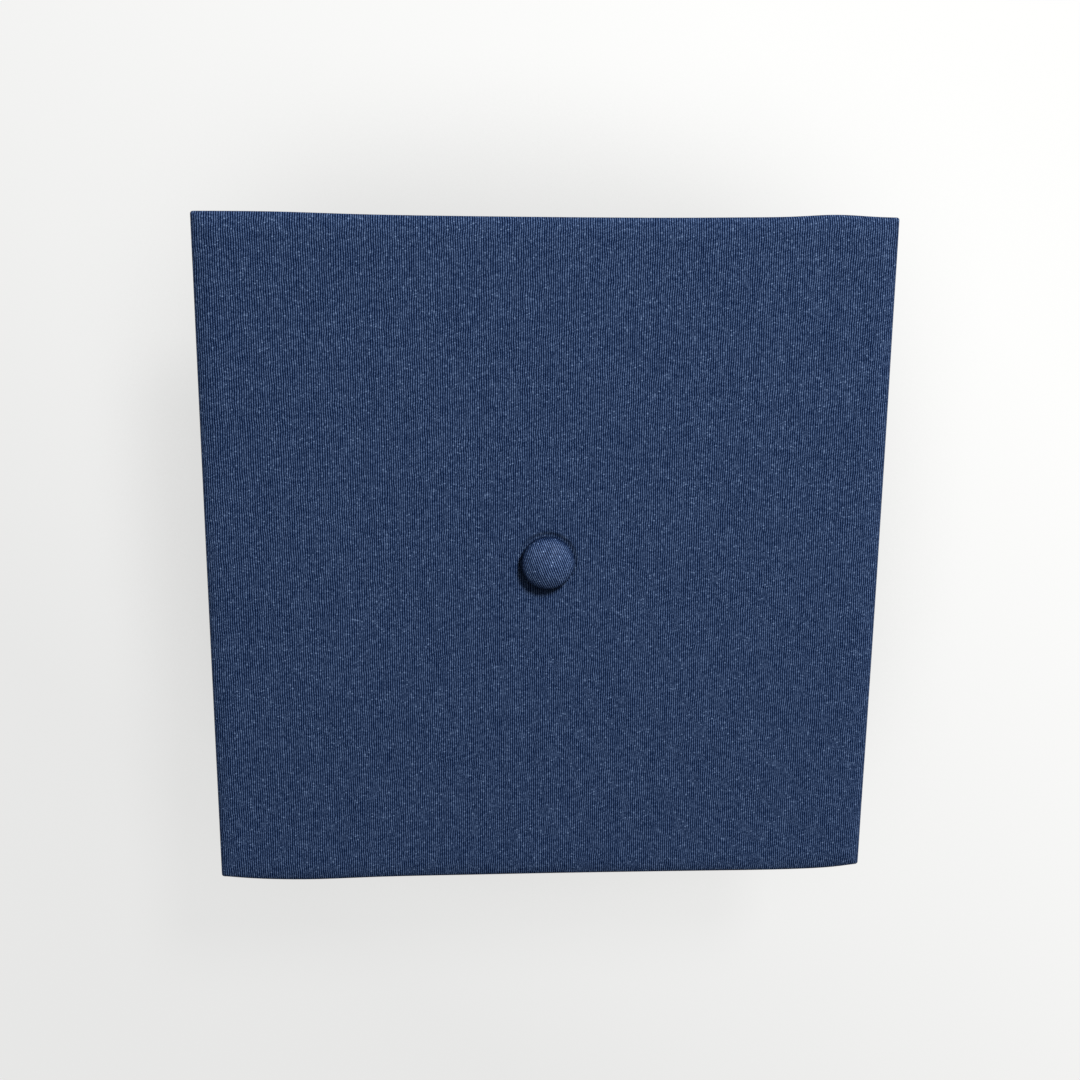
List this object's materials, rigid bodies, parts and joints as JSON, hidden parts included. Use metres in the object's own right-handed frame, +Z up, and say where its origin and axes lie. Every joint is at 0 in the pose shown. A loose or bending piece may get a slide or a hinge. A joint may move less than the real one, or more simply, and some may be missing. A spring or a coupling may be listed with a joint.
{
  "type": "graduation cap",
  "caption": "Flat square cloth-covered board on a soft skull cap, with a covered dome button in the middle; the back of the cap stretches to fit a head.",
  "frame": {"origin": "on the button's vertical axis, in the plane of the rim that the cap stands on", "axes": "+Z up through the button; the wearer faces -Y; the board's corners lie on the X and Y axes"},
  "size_m": [0.3392, 0.3392, 0.0856],
  "materials": {
    "navy_ribbed_cloth": "ribbed navy polyester cloth with a soft sheen",
    "navy_under_cloth": "the same cloth on the board's underside",
    "button_cloth": "ribbed navy cloth stretched on the button",
    "binding_tape": "twill tape",
    "lining_cloth": "plain woven lining",
    "sweatband_tape": "brushed cotton tape",
    "buckram": "stiffened open-weave cloth",
    "chipboard": "grey chipboard, cut edges",
    "zinc_plated_steel": "bright zinc plate",
    "elastic_webbing": "woven elastic",
    "sewing_thread": "navy polyester thread",
    "label_cloth": "blank woven label"
  },
  "bodies": {
    "cap": {"board_core": "chipboard", "board_top_cover": "navy_ribbed_cloth", "board_under_cover": "navy_under_cloth", "button_washer": "zinc_plated_steel", "crown_stiffener": "buckram", "crown_lining": "lining_cloth", "size_label": "label_cloth", "front_right_panel": "navy_ribbed_cloth", "front_left_panel": "navy_ribbed_cloth", "front_stiffener": "buckram", "front_lining_right": "lining_cloth", "front_lining_left": "lining_cloth", "edge_binding": "binding_tape", "sweatband": "sweatband_tape"},
    "button": {"button_cover": "button_cloth", "button_shell": "zinc_plated_steel", "button_back": "zinc_plated_steel", "button_prongs": "zinc_plated_steel"},
    "back_band": {"back_panel": "navy_ribbed_cloth", "back_lining": "lining_cloth", "elastic_band": "elastic_webbing", "elastic_tacks": "sewing_thread"}
  },
  "joints": [
    {"name": "button_swivel", "type": "hinge", "parent": "cap", "child": "button", "pos_m": [0, 0, 0.078], "axis": [0, 0, 1], "continuous": true},
    {"name": "back_stretch", "type": "hinge", "parent": "cap", "child": "back_band", "pos_m": [0, 0.0852, 0.0733], "axis": [1, 0, 0], "range_deg": [0, 15], "stiffness_Nm_per_rad": 1.3, "springref_deg": -2.86}
  ]
}
